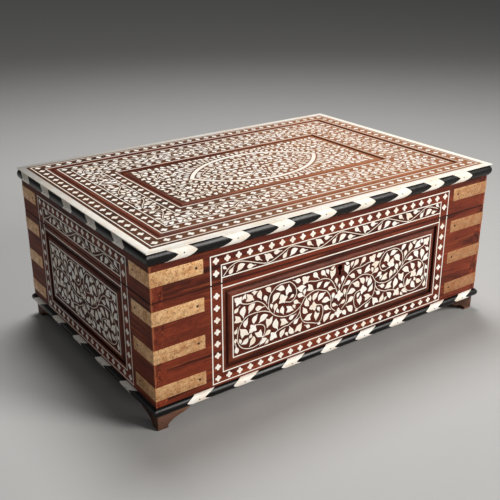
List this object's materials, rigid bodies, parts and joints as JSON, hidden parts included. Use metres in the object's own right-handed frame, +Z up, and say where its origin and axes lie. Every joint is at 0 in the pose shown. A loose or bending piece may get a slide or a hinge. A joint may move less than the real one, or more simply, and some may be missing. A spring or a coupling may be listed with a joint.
{
  "type": "inlaid box",
  "caption": "Hinged rectangular hardwood box with bone inlay, ebony edge mouldings, brass corner straps, bracket feet and a lock let into the front.",
  "frame": {"origin": "on the floor, under the middle of the closed box", "axes": "+X along the long front to the right, +Y to the back, +Z up"},
  "size_m": [0.4002, 0.2732, 0.1646],
  "materials": {
    "rosewood": "waxed, open grain",
    "moulding_wood": "waxed",
    "foot_wood": "worn wax",
    "ebony": "polished",
    "bone": "polished bone",
    "brass": "aged, pitted",
    "iron": "dark, filed flush",
    "steel": "dull"
  },
  "bodies": {
    "body": {"back_board": "rosewood", "back_bone_border": "bone", "back_panel_moulding": "moulding_wood", "base_moulding_back": "ebony", "base_moulding_bone": "bone", "base_moulding_front": "ebony", "base_moulding_left": "ebony", "base_moulding_pins": "iron", "base_moulding_right": "ebony", "body_screws": "steel", "body_strap_nails": "iron", "body_straps": "brass", "bottom_board": "rosewood", "foot_back_left": "foot_wood", "foot_back_right": "foot_wood", "foot_front_left": "foot_wood", "foot_front_right": "foot_wood", "front_board": "rosewood", "front_bone_border": "bone", "front_panel_moulding": "moulding_wood", "hinge_leaf_body_left": "brass", "hinge_leaf_body_right": "brass", "hinge_pins": "brass", "left_board": "rosewood", "left_bone_border": "bone", "left_panel_moulding": "moulding_wood", "lock_cap": "brass", "lock_plate": "brass", "lock_spring": "steel", "right_board": "rosewood", "right_bone_border": "bone", "right_panel_moulding": "moulding_wood"},
    "lid": {"hinge_leaf_lid_left": "brass", "hinge_leaf_lid_right": "brass", "lid_back_bone_border": "bone", "lid_back_rail": "rosewood", "lid_bone_edging": "bone", "lid_front_bone_border": "bone", "lid_front_rail": "rosewood", "lid_inner_moulding": "moulding_wood", "lid_left_bone_border": "bone", "lid_left_rail": "rosewood", "lid_link_plate": "brass", "lid_medallion_ring": "bone", "lid_moulding_back": "ebony", "lid_moulding_bone": "bone", "lid_moulding_front": "ebony", "lid_moulding_left": "ebony", "lid_moulding_pins": "iron", "lid_moulding_right": "ebony", "lid_outer_moulding": "moulding_wood", "lid_right_bone_border": "bone", "lid_right_rail": "rosewood", "lid_screws": "steel", "lid_strap_nails": "iron", "lid_straps": "brass", "lid_top_board": "rosewood", "lid_top_bone_border": "bone"},
    "lock_bolt": {"lock_bolt": "steel"}
  },
  "joints": [
    {"name": "lid_hinge", "type": "hinge", "parent": "body", "child": "lid", "pos_m": [0, 0.1335, 0.12], "axis": [-1, 0, 0], "range_deg": [0, 100]},
    {"name": "bolt_slide", "type": "slide", "parent": "body", "child": "lock_bolt", "axis": [1, 0, 0], "range_m": [0, 0.005]}
  ]
}
